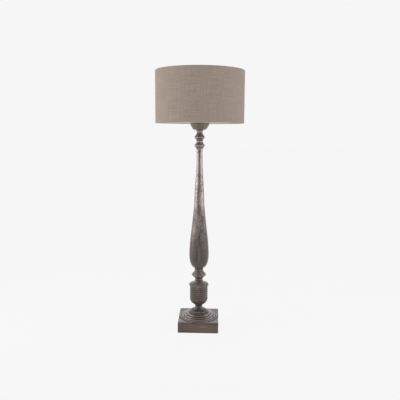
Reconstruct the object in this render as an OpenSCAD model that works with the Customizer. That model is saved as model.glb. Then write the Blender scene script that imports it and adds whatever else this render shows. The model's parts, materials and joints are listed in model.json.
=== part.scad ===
// Candlestick floor lamp: a turned wooden column on a square plinth, with a drum shade.
// Millimetres, +Z up. The origin is on the floor, on the column's axis. The front is -Y.

/* [Plinth] */
// Width of the square plinth
base_w = 256; // [240:1:300]
// Height of the plinth block
base_h = 66; // [60:1:80]
// Bevel along the plinth's upright and top edges
base_bevel = 1.2; // [0.5:0.1:3]
// Diameter of the pocket cut in the underside
pocket_d = 186; // [170:1:198]
// Wood left above the pocket
web_t = 22; // [16:1:26]
// Width of the square cover board
cover_w = 206; // [202:1:214]
// Thickness of the cover board
cover_t = 5; // [3:0.5:8]
// Diameter of a felt pad
pad_d = 20; // [14:1:20]
// Thickness of a felt pad
pad_t = 2; // [1:0.5:4]
// Diameter of the iron ballast
ballast_d = 176; // [140:1:180]
// Thickness of the iron ballast
ballast_t = 22; // [12:1:24]
// Diameter of the hole in the ballast
ballast_bore_d = 70; // [50:1:80]
// Height of the cord outlet above the plinth's underside
outlet_z = 15; // [13:0.5:20]
// Bore of the cord outlet's bush
outlet_d = 7.4; // [6:0.1:9]
// Length of the bush, with its flange
bush_l = 16; // [12:1:24]

/* [Stepped disc] */
// Diameter of the stepped disc
disc_d = 250; // [220:1:256]
// Height of the stepped disc
disc_h = 26; // [18:1:34]
// Number of steps
step_count = 4; // [3:1:6]
// Depth of the groove at the foot of each step
step_groove = 1.6; // [0.8:0.1:2.2]

/* [Foot] */
// Height of the foot
foot_h = 43; // [38:1:60]
// Diameter of the foot's disc
foot_d = 125; // [110:1:140]
// Height of the foot's rounded shoulder
foot_shoulder_h = 21; // [18:1:26]
// Diameter of the neck on top of the foot
foot_neck_d = 47; // [40:1:60]

/* [Urn] */
// Height of the urn
urn_h = 181; // [160:1:220]
// Diameter of the urn's body
urn_d = 116; // [100:1:130]
// Diameter of the urn's lip
urn_lip_d = 127; // [118:1:145]
// Height of the round bottom of the urn
urn_bowl_h = 54; // [44:1:64]
// Height of the reeded wall of the urn
urn_wall_h = 82; // [60:1:90]
// Number of reeds round the urn
reed_count = 6; // [4:1:9]
// Depth between the reeds
reed_depth = 1.4; // [0.6:0.1:2.5]
// Diameter of the neck on top of the urn
urn_neck_d = 49; // [40:1:60]

/* [Bead] */
// Height of the bead above the urn
bead_h = 60; // [45:1:80]
// Diameter of the bead
bead_d = 92; // [80:1:110]
// Diameter of the neck on top of the bead
bead_neck_d = 55; // [44:1:64]

/* [Baluster] */
// Height of the baluster
baluster_h = 778; // [650:1:900]
// Height of the widest place above the baluster's foot
belly_z = 98; // [70:1:140]
// Diameter at the widest place
belly_d = 125; // [100:1:150]
// Height where the vase ends and the shaft begins
shaft_z = 430; // [360:1:500]
// Diameter where the shaft begins
shaft_d = 64; // [50:0.5:80]
// Diameter at the top of the shaft
shaft_top_d = 40; // [36:0.5:50]
// Length of the straight stretch at the top of the shaft
shaft_top_l = 48; // [20:1:90]

/* [Twin-bead neck] */
// Height of the twin-bead neck
neck_h = 104; // [96:1:130]
// Height of the lower bead's edge
low_edge_z = 22; // [14:1:30]
// Height of the waist between the two beads
waist_z = 45; // [38:1:54]
// Height of the upper bead's edge
high_edge_z = 72; // [62:1:78]
// Diameter of each of the two beads
neck_bead_d = 69; // [60:1:84]
// Diameter between the beads
neck_waist_d = 38; // [34:1:48]
// Diameter on top of the neck
neck_top_d = 36; // [34:1:44]

/* [Cup] */
// Height of the cup
cup_h = 59; // [50:1:80]
// Diameter of the cup's lip
cup_lip_d = 126; // [110:1:140]
// Thickness of the cup's lip
cup_lip_t = 6; // [5:1:12]
// Diameter of the bowl below the lip
cup_bowl_d = 107; // [90:1:116]
// Diameter of the collar under the bowl
cup_collar_d = 44; // [38:1:52]
// Depth of the dish in the top of the cup
dish_depth = 8; // [4:1:14]

/* [Tube and fasteners] */
// Outer diameter of the threaded tube
tube_d = 10; // [9:0.5:12]
// Wall of the threaded tube
tube_wall = 1; // [0.8:0.1:1.5]
// Diameter of the bore through the wooden pieces
bore_d = 11; // [10.5:0.1:13]
// Diameter of the tenons that centre the wooden pieces
tenon_d = 24; // [18:1:28]
// Length of the tenons
tenon_h = 8; // [5:1:12]
// Diameter of the bottom washer
washer_d = 44; // [30:1:48]
// Thickness of the washers
washer_t = 2; // [1:0.5:3]
// Thickness of the bottom nut
nut_t = 6; // [4:0.5:8]
// Width across the flats of both nuts
nut_af = 17; // [14:1:20]
// Diameter of the flex inside the tube
lead_d = 5.2; // [4:0.1:6.5]

/* [Lampholder] */
// Outer diameter of the lampholder's cap
cap_d = 43; // [42:1:46]
// Height of the collar at the cap's foot
cap_collar_h = 8; // [6:1:12]
// Height of the cap's dome
cap_dome_h = 10; // [8:1:14]
// Height of the straight part of the cap
cap_wall_h = 15.5; // [14:0.5:20]
// Wall of the cap
cap_wall = 1; // [0.8:0.1:1.5]
// Diameter of the threaded jacket
jacket_d = 39.5; // [38:0.1:40.5]
// Height of the jacket
jacket_h = 34; // [30:1:40]
// Wall of the jacket
jacket_wall = 1.5; // [1:0.1:2]
// Outer diameter of the seat ring and the shade ring
ring_d = 57; // [52:1:64]
// Height of the seat ring and of the shade ring
ring_h = 5.5; // [4:0.5:7]
// Length of the switch key's stem outside the cap
key_stem_l = 12; // [8:1:20]
// Width of the switch key
key_w = 18; // [12:1:19]
// Length of the switch key's grip
key_l = 14; // [10:1:20]

/* [Shade] */
// Diameter of the shade
shade_d = 550; // [450:1:650]
// Height of the shade
shade_h = 317; // [240:1:380]
// Depth of the fitter above the shade's lower edge
fitter_recess = 46; // [30:1:60]
// Thickness of the fabric
fabric_t = 0.8; // [0.6:0.1:1.2]
// Thickness of the lining
lining_t = 0.7; // [0.5:0.1:1.2]
// Diameter of the wire in the top and bottom edges
wire_d = 3; // [2:0.5:5]
// Diameter of the fitter's three arms
arm_d = 3.5; // [2.5:0.5:5]

/* [Bulb] */
// Diameter of the bulb
bulb_d = 60; // [45:1:80]
// Height of the glass
bulb_glass_h = 82; // [70:1:110]

/* [Hidden] */
$fn = 96;

// Clearances
joint_gap = 0.15;   // round a tenon, a bush or the cover
thread_gap = 0.05;  // between two threaded pieces
move_gap = 0.4;     // round a piece that moves
turn_gap = 0.1;     // between flat faces that turn on each other
notch_gap = 0.3;    // round an arm where it comes out of the fabric's fold
wrap_gap = 0.4;     // between a wire and the fabric folded over it
glue_gap = 0.05;    // between the fabric and its lining
tenon_relief = 0.5; // under the end of a tenon

// Heights of the joints in the column
plinth_z = pad_t;
disc_z = plinth_z + base_h;
foot_z = disc_z + disc_h;
urn_z = foot_z + foot_h;
bead_z = urn_z + urn_h;
baluster_z = bead_z + bead_h;
neck_z = baluster_z + baluster_h;
cup_z = neck_z + neck_h;
cup_top_z = cup_z + cup_h;

// Inside the plinth
cover_top_z = plinth_z + cover_t;
web_z = disc_z - web_t;
ballast_z = web_z - ballast_t;
ballast_ring_d = (ballast_d + ballast_bore_d) / 2;
pad_at = base_w / 2 - (base_w - cover_w) / 4;
cover_screw_inset = 9;
cover_screw_at = cover_w / 2 - cover_screw_inset;
screw_d = 4;
screw_head_d = 8;
recess_l = 5;
recess_w = 0.8;
recess_h = 1.2;
cover_screw_l = cover_t + 15;
ballast_screw_l = ballast_t + 13;
outlet_axis_z = plinth_z + outlet_z;
bush_wall = 1.8;
bush_d = outlet_d + 2 * bush_wall;
flange_w = 2.5;
flange_d = bush_d + 2 * flange_w;
flange_t = 2;

// Terminal block and the flex inside the lamp
block_w = 24;
block_l = 16;
block_h = 12;
block_y = 34;
block_screw_d = 3;
block_screw_l = 3.5;
lead_z = cover_top_z + block_h / 2;
lead_bend_r = 14;
core_d = 2.2;

// The tube and what clamps the column on it
bottom_washer_z = web_z - washer_t;
bottom_nut_z = bottom_washer_z - nut_t;
tube_tail = 8;
tube_z = bottom_nut_z - tube_tail;
dish_z = cup_top_z - dish_depth;
cup_nut_t = 4;
cup_washer_d = 32;
cup_nut_z = dish_z + washer_t;
holder_z = cup_nut_z + cup_nut_t;
tube_stub = 1;
tube_top_z = holder_z + cap_collar_h + tube_stub;

// Lampholder
cap_dome_z = holder_z + cap_collar_h;
cap_wall_z = cap_dome_z + cap_dome_h;
jacket_z = cap_wall_z + cap_wall_h;
jacket_top_z = jacket_z + jacket_h;
collar_d = 14;
grub_d = 3;
grub_z = holder_z + cap_collar_h / 2;
key_z = cap_wall_z + cap_wall_h / 2;
key_stem_d = 4;
key_t = 4;
key_stem_in = 11;
shell_d = 28.4;
shell_t = 0.6;
insert_z = cap_wall_z;
insert_play = 0.5;
insert_d = cap_d - 2 * (cap_wall + insert_play);
insert_neck_d = shell_d + 1;
insert_neck_h = 12;
insert_top_z = jacket_z + insert_neck_h;
insert_dish_d = 16;
insert_dish_h = 3;
contact_w = 5;
contact_t = 0.6;
terminal_at = (insert_neck_d + jacket_d - 2 * jacket_wall) / 4;
terminal_d = 3;
terminal_h = 3.5;
terminal_z = jacket_z - terminal_h - 0.5;
slot_w = 0.6;
slot_h = 0.8;
jacket_flange_h = 3;
ring_notch_count = 12;
ring_notch_d = 4;
ring_notch_depth = 0.8;
seat_lift = 2;
seat_z = jacket_z + jacket_flange_h + seat_lift;
fitter_z = seat_z + ring_h + turn_gap;
fitter_t = 1.5;
shade_ring_z = fitter_z + fitter_t + turn_gap;

// Shade
shade_z = fitter_z - fitter_recess;
shade_top_z = shade_z + shade_h;
roll_r = wire_d / 2 + wrap_gap + fabric_t;
wire_ring_r = shade_d / 2 - roll_r;
fitter_rim = 2.5;
fitter_d = ring_d + 2 * fitter_rim;
fitter_bore_d = jacket_d + 2 * move_gap;
arm_count = 3;
arm_first = 90;
arm_weld = 1;
arm_outer = [wire_ring_r, shade_z + roll_r];
arm_inner = [fitter_d / 2 - arm_weld, fitter_z + fitter_t / 2];

// Bulb
bulb_shell_d = shell_d - 2 * shell_t - 2 * move_gap;
bulb_thread = 0.6;
bulb_neck_r = bulb_shell_d / 2 - bulb_thread;
bulb_stand = 3.5;
bulb_z = insert_top_z + bulb_stand;
bulb_tip_h = 2;
bulb_insulator_h = 3.5;
bulb_shell_h = 20;
bulb_shell_z = bulb_z + bulb_tip_h + bulb_insulator_h;
bulb_glass_z = bulb_shell_z + bulb_shell_h;
glass_t = 1;

// Colours
wood = "#75675f";
wood_light = "#8d8079";
linen = "#9a8c7f";

// ---- Outline pieces, all as [radius, height] ----

// Quarter of an ellipse that leaves p level and reaches q upright
function level_to_upright(p, q, n = 8) = [for (i = [0:n])
    let (a = 90 * i / n) [p[0] + (q[0] - p[0]) * sin(a), q[1] + (p[1] - q[1]) * cos(a)]];

// Quarter of an ellipse that leaves p upright and reaches q level
function upright_to_level(p, q, n = 8) = [for (i = [0:n])
    let (a = 90 * i / n) [q[0] + (p[0] - q[0]) * cos(a), p[1] + (q[1] - p[1]) * sin(a)]];

// S-curve from p to q, upright at both ends
function s_curve(p, q, n = 16) = [for (i = [0:n])
    let (t = i / n, s = t * t * (3 - 2 * t)) [p[0] + (q[0] - p[0]) * s, p[1] + (q[1] - p[1]) * t]];

// Cubic curve from a to d with the handles b and c
function curve(a, b, c, d, n = 20) = [for (i = [0:n])
    let (t = i / n, u = 1 - t) u * u * u * a + 3 * u * u * t * b + 3 * u * t * t * c + t * t * t * d];

// Part of a circle round c, from angle a0 to a1
function arc(c, r, a0, a1, n = 12) = [for (i = [0:n])
    let (a = a0 + (a1 - a0) * i / n) [c[0] + r * cos(a), c[1] + r * sin(a)]];

// Moves an outline up
function raised(points, z) = [for (p = points) [p[0], p[1] + z]];

// ---- Shared shapes ----

// A turned piece of the column: its outline from z to z + h, a tenon below, a socket above and the bore
module turned(outline, z, h, tenon = true, socket = true) {
    foot = tenon
        ? [[bore_d / 2, z - tenon_h + tenon_relief], [tenon_d / 2 - joint_gap, z - tenon_h + tenon_relief],
            [tenon_d / 2 - joint_gap, z]]
        : [[bore_d / 2, z]];
    head = socket
        ? [[tenon_d / 2, z + h], [tenon_d / 2, z + h - tenon_h], [bore_d / 2, z + h - tenon_h]]
        : [[bore_d / 2, z + h]];
    rotate_extrude() polygon(concat(foot, outline, head));
}

module ring(outer_d, inner_d, h) {
    difference() {
        cylinder(h = h, d = outer_d);
        translate([0, 0, -1]) cylinder(h = h + 2, d = inner_d);
    }
}

module hex_nut(h) {
    difference() {
        cylinder(h = h, d = nut_af / cos(30), $fn = 6);
        translate([0, 0, -1]) cylinder(h = h + 2, d = tube_d + 2 * thread_gap);
    }
}

// Countersunk screw with its head at the bottom, grown by gap where it is used as a hole
module screw(length, gap = 0) {
    head_h = (screw_head_d - screw_d) / 2;
    difference() {
        union() {
            cylinder(h = length + gap, d = screw_d + 2 * gap);
            cylinder(h = head_h, d1 = screw_head_d + 2 * gap, d2 = screw_d + 2 * gap);
        }
        if (gap == 0) for (turn = [0, 90])
            rotate([0, 0, turn]) translate([-recess_l / 2, -recess_w / 2, -1])
                cube([recess_l, recess_w, recess_h + 1]);
    }
}

// Headless screw with a slot across its upper end
module slotted(length, d) {
    difference() {
        cylinder(h = length, d = d);
        translate([-d, -slot_w / 2, length - slot_h]) cube([2 * d, slot_w, slot_h + 1]);
    }
}

module at_corners(half) {
    for (x = [-1, 1], y = [-1, 1]) translate([x * half, y * half, 0]) children();
}

module at_ballast_screws() {
    for (i = [0:2]) rotate([0, 0, 30 + 120 * i]) translate([ballast_ring_d / 2, 0, 0]) children();
}

// ---- Plinth ----

module plinth() {
    half = base_w / 2;
    color(wood_light) difference() {
        translate([0, 0, plinth_z]) linear_extrude(base_h) polygon([for (i = [0:3], s = [-1, 1])
            let (a = 90 * i, far = half, near = half - base_bevel)
                [far * cos(a) - s * near * sin(a), far * sin(a) + s * near * cos(a)]]);
        // bevel round the top
        for (i = [0:3]) rotate([0, 0, 90 * i]) translate([half, 0, disc_z])
            rotate([0, 45, 0]) cube([base_bevel * sqrt(2), base_w + 2, base_bevel * sqrt(2)], center = true);
        translate([0, 0, plinth_z - 1]) cylinder(h = base_h + 2, d = bore_d);
        translate([0, 0, plinth_z - 1]) cylinder(h = web_z - plinth_z + 1, d = pocket_d);
        translate([-cover_w / 2 - joint_gap, -cover_w / 2 - joint_gap, plinth_z - 1])
            cube([cover_w + 2 * joint_gap, cover_w + 2 * joint_gap, cover_t + 1]);
        // outlet for the cord, out of the back
        translate([0, 0, outlet_axis_z]) rotate([-90, 0, 0])
            cylinder(h = half + 1, d = bush_d + 2 * joint_gap);
        translate([0, 0, plinth_z]) at_corners(cover_screw_at) screw(cover_screw_l, thread_gap);
        translate([0, 0, ballast_z]) at_ballast_screws() screw(ballast_screw_l, thread_gap);
    }
}

module bottom_cover() {
    color("#8b7355") difference() {
        translate([-cover_w / 2, -cover_w / 2, plinth_z]) cube([cover_w, cover_w, cover_t]);
        translate([0, 0, plinth_z]) at_corners(cover_screw_at) screw(cover_screw_l, thread_gap);
    }
}

module cover_screws() {
    color("silver") translate([0, 0, plinth_z]) at_corners(cover_screw_at) screw(cover_screw_l);
}

module felt_pads() {
    color("#3b3735") at_corners(pad_at) cylinder(h = pad_t, d = pad_d);
}

module ballast() {
    color("#4a4a4c") difference() {
        translate([0, 0, ballast_z]) ring(ballast_d, ballast_bore_d, ballast_t);
        translate([0, 0, ballast_z]) at_ballast_screws() screw(ballast_screw_l, thread_gap);
    }
}

module ballast_screws() {
    color("silver") translate([0, 0, ballast_z]) at_ballast_screws() screw(ballast_screw_l);
}

module cord_bush() {
    color("#2b2725") translate([0, base_w / 2 + flange_t, outlet_axis_z]) rotate([90, 0, 0]) difference() {
        union() {
            cylinder(h = bush_l, d = bush_d);
            cylinder(h = flange_t, d = flange_d);
        }
        translate([0, 0, -1]) cylinder(h = bush_l + 2, d = outlet_d);
    }
}

module terminal_block() {
    color("ivory") difference() {
        translate([-block_w / 2, block_y, cover_top_z]) cube([block_w, block_l, block_h]);
        for (x = [-block_w / 4, block_w / 4]) {
            // wire entry from the cord's side, and the screw well above it
            translate([x, block_y + block_l / 2, cover_top_z + block_h / 2]) rotate([-90, 0, 0])
                cylinder(h = block_l, d = block_screw_d);
            translate([x, block_y + block_l / 2, cover_top_z + block_h / 2])
                cylinder(h = block_h, d = block_screw_d + 2 * thread_gap);
        }
    }
}

module block_screws() {
    screw_z = cover_top_z + block_h / 2 + block_screw_d / 2;
    color("silver") for (x = [-block_w / 4, block_w / 4])
        translate([x, block_y + block_l / 2, screw_z]) slotted(block_screw_l, block_screw_d);
}

// ---- Tube, nuts and the flex inside ----

module bottom_washer() {
    color("silver") translate([0, 0, bottom_washer_z]) ring(washer_d, tube_d + 2 * joint_gap, washer_t);
}

module bottom_nut() {
    color("silver") translate([0, 0, bottom_nut_z]) hex_nut(nut_t);
}

module threaded_tube() {
    color("#b0a890") translate([0, 0, tube_z]) ring(tube_d, tube_d - 2 * tube_wall, tube_top_z - tube_z);
}

// From the terminal block, round a bend and up the tube, to its two cores under the lampholder's insert
module inner_lead() {
    sheath_top_z = tube_top_z + 1;
    color("#e8e4da") {
        translate([0, 0, lead_z + lead_bend_r]) cylinder(h = sheath_top_z - lead_z - lead_bend_r, d = lead_d);
        translate([0, lead_bend_r, lead_z + lead_bend_r]) rotate([0, 90, 180]) rotate_extrude(angle = 90)
            translate([lead_bend_r, 0]) circle(d = lead_d);
        translate([0, lead_bend_r, lead_z]) rotate([-90, 0, 0])
            cylinder(h = block_y - lead_bend_r, d = lead_d);
        for (x = [-lead_d / 4, lead_d / 4])
            translate([x, 0, sheath_top_z - 1]) cylinder(h = insert_z - sheath_top_z + 1, d = core_d);
    }
}

// ---- Turned column ----

// Steps that rise to the middle, each a rounded ridge with a groove at its foot.
// The outer steps are low and the inner ones high, so that the whole is hollow like a bell's mouth.
function step_rise(k) = disc_h * pow(k / step_count, 1.5);
function step_r(k) = disc_d / 2 + (foot_d / 2 - disc_d / 2) * k / step_count;

module stepped_disc() {
    ridges = [for (k = [0:step_count - 1])
        let (r0 = step_r(k), r1 = step_r(k + 1), z0 = step_rise(k), z1 = step_rise(k + 1),
            last = k == step_count - 1)
        for (p = concat(
            upright_to_level([r0, z0 + (k == 0 ? 0 : step_groove)], [r0 - 0.62 * (r0 - r1), z1], 6),
            last ? [] : [[r1 + 1.5, z1], [r1 + 0.2, z1 - step_groove], [r1, z1 - step_groove + 0.4]]
        )) p];
    color(wood_light) turned(raised(ridges, disc_z), disc_z, disc_h, tenon = false);
}

module foot() {
    neck_r = foot_neck_d / 2;
    outer = foot_d / 2;
    rim_h = 7;
    dome_r = outer - 6;
    top_r = neck_r + 19;
    color(wood) turned(raised(concat(
        arc([outer - rim_h / 2, rim_h / 2], rim_h / 2, -90, 90, 10),
        [[dome_r - 1, rim_h], [dome_r - 1, rim_h + 1], [dome_r, rim_h + 1.5]],
        curve([dome_r, rim_h + 1.5], [dome_r, rim_h + 6], [dome_r - 5, foot_shoulder_h - 4],
            [top_r, foot_shoulder_h], 12),
        curve([top_r, foot_shoulder_h], [top_r - 11, foot_shoulder_h + 5], [neck_r, foot_shoulder_h + 6],
            [neck_r, foot_h - 4], 10),
        [[neck_r, foot_h]]
    ), foot_z), foot_z, foot_h);
}

module urn() {
    neck_r = foot_neck_d / 2;
    wall_r = urn_d / 2;
    lip_r = urn_lip_d / 2;
    top_r = urn_neck_d / 2;
    wall_z = urn_bowl_h;
    lip_z = wall_z + urn_wall_h;
    shoulder_z = lip_z + 12;
    fillet_h = 4;
    groove_h = 2;
    reed_h = (urn_wall_h - fillet_h - groove_h) / reed_count;
    reeds = [for (k = [0:reed_count - 1], i = [0:8])
        let (t = i / 8) [wall_r - reed_depth + reed_depth * sin(180 * t), wall_z + reed_h * (k + t)]];
    color(wood) turned(raised(concat(
        curve([neck_r, 0], [neck_r, 8], [neck_r + 4, 11], [neck_r + 9.5, 14.5], 6),
        curve([neck_r + 9.5, 14.5], [wall_r - 13, 21], [wall_r, 34], [wall_r, wall_z], 14),
        reeds,
        [[wall_r, lip_z - groove_h - fillet_h], [wall_r + 0.4, lip_z - groove_h - fillet_h / 2],
            [wall_r, lip_z - groove_h], [wall_r - 1.5, lip_z - groove_h], [wall_r - 1.5, lip_z]],
        curve([wall_r, lip_z], [lip_r - 2, lip_z + 1], [lip_r, lip_z + 3], [lip_r, lip_z + 6], 8),
        curve([lip_r, lip_z + 6], [lip_r, lip_z + 9], [lip_r - 1, lip_z + 11], [lip_r - 3, shoulder_z], 6),
        curve([lip_r - 3, shoulder_z], [lip_r - 4.5, shoulder_z + 5.5], [top_r + 18, shoulder_z + 9],
            [top_r + 8, shoulder_z + 13], 10),
        curve([top_r + 8, shoulder_z + 13], [top_r + 4, shoulder_z + 15], [top_r, shoulder_z + 17],
            [top_r, urn_h], 8)
    ), urn_z), urn_z, urn_h);
}

module bead() {
    low_r = urn_neck_d / 2;
    top_r = bead_neck_d / 2;
    edge_r = bead_d / 2;
    edge_z = bead_h * 0.47;
    slope_r = edge_r - 10;
    color(wood) turned(raised(concat(
        curve([low_r, 0], [low_r, 8], [slope_r - 5, edge_z - 17], [slope_r, edge_z - 12], 8),
        curve([slope_r, edge_z - 12], [slope_r + 5, edge_z - 7], [edge_r, edge_z - 5], [edge_r, edge_z], 8),
        curve([edge_r, edge_z], [edge_r, edge_z + 6], [slope_r + 5, edge_z + 10], [slope_r, edge_z + 15], 8),
        curve([slope_r, edge_z + 15], [slope_r - 4, edge_z + 20], [top_r, edge_z + 23], [top_r, bead_h], 8)
    ), bead_z), bead_z, bead_h);
}

module baluster() {
    low_r = bead_neck_d / 2;
    belly_r = belly_d / 2;
    shaft_r = shaft_d / 2;
    top_r = shaft_top_d / 2;
    taper_top = baluster_h - shaft_top_l;
    vase_h = shaft_z - belly_z;
    color(wood) turned(raised(concat(
        curve([low_r, 0], [low_r, 13], [low_r + 0.5, 15], [low_r + 3, 16.5], 5),
        curve([low_r + 3, 16.5], [low_r + 17, 18], [belly_r, 0.46 * belly_z], [belly_r, belly_z], 20),
        curve([belly_r, belly_z], [belly_r, belly_z + 0.27 * vase_h],
            [shaft_r + 20, shaft_z - 0.62 * vase_h], [shaft_r, shaft_z], 24),
        s_curve([shaft_r, shaft_z], [top_r - 1, taper_top], 24),
        [[top_r - 1, baluster_h - 9]],
        curve([top_r - 1, baluster_h - 9], [top_r - 1, baluster_h - 6], [top_r, baluster_h - 5],
            [top_r, baluster_h - 3], 4),
        [[top_r, baluster_h]]
    ), baluster_z), baluster_z, baluster_h);
}

module twin_bead_neck() {
    low_r = shaft_top_d / 2;
    waist_r = neck_waist_d / 2;
    edge_r = neck_bead_d / 2;
    top_r = neck_top_d / 2;
    edge = 1;
    ring_r = 1.6;
    top_z = neck_h - 10;
    color(wood) turned(raised(concat(
        curve([low_r, 0], [low_r + 1, 4], [edge_r - 7, low_edge_z - 8], [edge_r, low_edge_z - edge], 8),
        curve([edge_r, low_edge_z + edge], [edge_r - 6, low_edge_z + 6], [waist_r + 4, waist_z - 8],
            [waist_r + 0.5, waist_z - ring_r], 8),
        arc([waist_r, waist_z], ring_r, -70, 70, 8),
        curve([waist_r + 0.5, waist_z + ring_r], [waist_r + 1, waist_z + 10], [edge_r - 9, high_edge_z - 6],
            [edge_r, high_edge_z - edge], 8),
        curve([edge_r, high_edge_z + edge], [edge_r - 4, high_edge_z + 6], [top_r + 5, top_z - 5],
            [top_r + 2, top_z], 8),
        curve([top_r + 2, top_z], [top_r + 1, top_z + 2], [top_r, top_z + 4], [top_r, neck_h], 5)
    ), neck_z), neck_z, neck_h);
}

module cup() {
    low_r = neck_top_d / 2;
    collar_r = cup_collar_d / 2;
    bowl_r = cup_bowl_d / 2;
    lip_r = cup_lip_d / 2;
    lip_z = cup_h - cup_lip_t;
    bowl_z = 13;
    side_r = bowl_r - 8;
    rim = cup_lip_t / 2;
    dish_r = lip_r - 7;
    color(wood) turned(raised(concat(
        curve([low_r, 0], [low_r, 4], [collar_r, 4], [collar_r, 8], 5),
        [[collar_r, bowl_z]],
        curve([collar_r, bowl_z], [collar_r + 12, bowl_z], [side_r - 3, bowl_z + 6],
            [side_r, bowl_z + 14], 10),
        curve([side_r, bowl_z + 14], [side_r + 3, bowl_z + 21], [bowl_r, lip_z - 13],
            [bowl_r, lip_z - 3], 8),
        curve([bowl_r, lip_z - 3], [bowl_r - 2, lip_z - 1.5], [bowl_r - 2, lip_z], [bowl_r, lip_z], 5),
        arc([lip_r - rim, lip_z + rim], rim, -90, 90, 10),
        curve([dish_r, cup_h], [dish_r - 5, cup_h], [dish_r - 10, cup_h - dish_depth],
            [dish_r - 18, cup_h - dish_depth], 10)
    ), cup_z), cup_z, cup_h - dish_depth, socket = false);
}

// ---- Lampholder ----

module cup_washer() {
    color("silver") translate([0, 0, dish_z]) ring(cup_washer_d, tube_d + 2 * joint_gap, washer_t);
}

module cup_nut() {
    color("silver") translate([0, 0, cup_nut_z]) hex_nut(cup_nut_t);
}

module holder_cap() {
    outer = cap_d / 2;
    inner = outer - cap_wall;
    bore = tube_d / 2 + thread_gap;
    ledge = insert_d / 2 - 2;
    color("#b79a5b") difference() {
        rotate_extrude() polygon(concat(
            [[bore, holder_z], [collar_d / 2, holder_z], [collar_d / 2, cap_dome_z]],
            level_to_upright([collar_d / 2 + 1, cap_dome_z], [outer, cap_wall_z], 8),
            [[outer, jacket_z], [inner, jacket_z], [inner, cap_wall_z], [ledge, cap_wall_z]],
            level_to_upright([ledge, cap_wall_z - cap_wall], [bore + 1, cap_dome_z + cap_wall], 6),
            [[bore, cap_dome_z + cap_wall]]));
        translate([0, 0, key_z]) rotate([0, 90, 0]) cylinder(h = cap_d, d = key_stem_d + 2 * move_gap);
        translate([0, 0, grub_z]) rotate([90, 0, 0]) cylinder(h = cap_d, d = grub_d);
    }
}

module cap_grub_screw() {
    length = (collar_d - tube_d) / 2 - thread_gap + slot_h;
    color("silver") translate([0, -tube_d / 2 - thread_gap, grub_z]) rotate([90, 0, 0])
        slotted(length, grub_d - 2 * thread_gap);
}

module holder_insert() {
    color("ivory") difference() {
        union() {
            translate([0, 0, insert_z]) cylinder(h = jacket_z - insert_z, d = insert_d);
            translate([0, 0, insert_z]) cylinder(h = insert_top_z - insert_z, d = insert_neck_d);
        }
        translate([0, 0, insert_top_z - insert_dish_h]) cylinder(h = insert_dish_h + 1, d = insert_dish_d);
        translate([0, 0, key_z]) rotate([0, 90, 0]) cylinder(h = cap_d, d = key_stem_d + 2 * move_gap);
        for (y = [-1, 1]) translate([0, y * terminal_at, terminal_z])
            cylinder(h = terminal_h + 1, d = terminal_d + 2 * thread_gap);
    }
}

// Tongue of sheet brass, folded back over itself, that ends just under the bulb's tip
module holder_contact() {
    low = insert_top_z - insert_dish_h;
    tip = bulb_z - 0.3;
    color("#c9a24a") translate([0, contact_w / 2, 0]) rotate([90, 0, 0]) linear_extrude(contact_w) polygon([
        [-7, low], [3, low], [3, low + contact_t], [-5.6, low + contact_t], [-1.5, tip - contact_t],
        [3.5, tip - contact_t], [3.5, tip], [-2, tip], [-7, low + contact_t]]);
}

module terminal_screws() {
    color("silver") for (y = [-1, 1])
        translate([0, y * terminal_at, terminal_z]) slotted(terminal_h, terminal_d);
}

module holder_shell() {
    shell_top_z = jacket_top_z - 2;
    color("#c9a24a") translate([0, 0, insert_top_z])
        ring(shell_d, shell_d - 2 * shell_t, shell_top_z - insert_top_z);
}

// Sleeve with a coarse outer thread, drawn as a row of rings, for the seat ring and the shade ring
module holder_jacket() {
    outer = jacket_d / 2;
    inner = outer - jacket_wall;
    mouth = shell_d / 2 + 0.4;
    pitch = 2.5;
    thread_z = jacket_z + jacket_flange_h;
    turns = floor((jacket_h - jacket_flange_h - 3) / pitch);
    threads = [for (k = [0:turns - 1], q = [[0, 0], [-0.5, 0.3], [-0.5, 0.5], [0, 0.8]])
        [outer + q[0], thread_z + pitch * (k + q[1])]];
    color("#b79a5b") rotate_extrude() polygon(concat(
        [[inner, jacket_z], [cap_d / 2, jacket_z], [cap_d / 2, thread_z]],
        threads,
        [[outer, jacket_top_z - 1], [outer - 1, jacket_top_z], [mouth, jacket_top_z],
            [mouth, jacket_top_z - 1.5], [inner, jacket_top_z - 1.5]]));
}

// Ring that screws on the jacket, with finger notches round its edge
module threaded_ring(z) {
    translate([0, 0, z]) difference() {
        ring(ring_d, jacket_d + 2 * joint_gap, ring_h);
        for (i = [1:ring_notch_count]) rotate([0, 0, 360 / ring_notch_count * i])
            translate([(ring_d + ring_notch_d) / 2 - ring_notch_depth, 0, -1])
                cylinder(h = ring_h + 2, d = ring_notch_d);
    }
}

module seat_ring() {
    color("#2b2725") threaded_ring(seat_z);
}

module shade_ring() {
    color("#2b2725") threaded_ring(shade_ring_z);
}

module key_stem() {
    color("#b79a5b") translate([key_stem_in, 0, key_z]) rotate([0, 90, 0])
        cylinder(h = cap_d / 2 + key_stem_l - key_stem_in, d = key_stem_d);
}

module key_knob() {
    root_x = cap_d / 2 + key_stem_l;
    color("#2b2725") translate([root_x, 0, key_z]) {
        rotate([0, 90, 0]) cylinder(h = 4, d = key_stem_d + 4);
        intersection() {
            translate([2, -key_t / 2, -key_w / 2]) cube([key_l - 2, key_t, key_w]);
            translate([key_l - key_w / 2, 0, 0]) rotate([90, 0, 0])
                cylinder(h = key_w, d = key_w, center = true);
        }
    }
}

// ---- Shade ----

module arms(d) {
    run = arm_outer[0] - arm_inner[0];
    rise = arm_inner[1] - arm_outer[1];
    for (i = [0:arm_count - 1]) rotate([0, 0, arm_first + 360 / arm_count * i])
        translate([arm_outer[0], 0, arm_outer[1]]) rotate([0, atan2(-run, rise), 0])
            cylinder(h = norm([run, rise]), d = d, $fn = 32);
}

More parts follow.
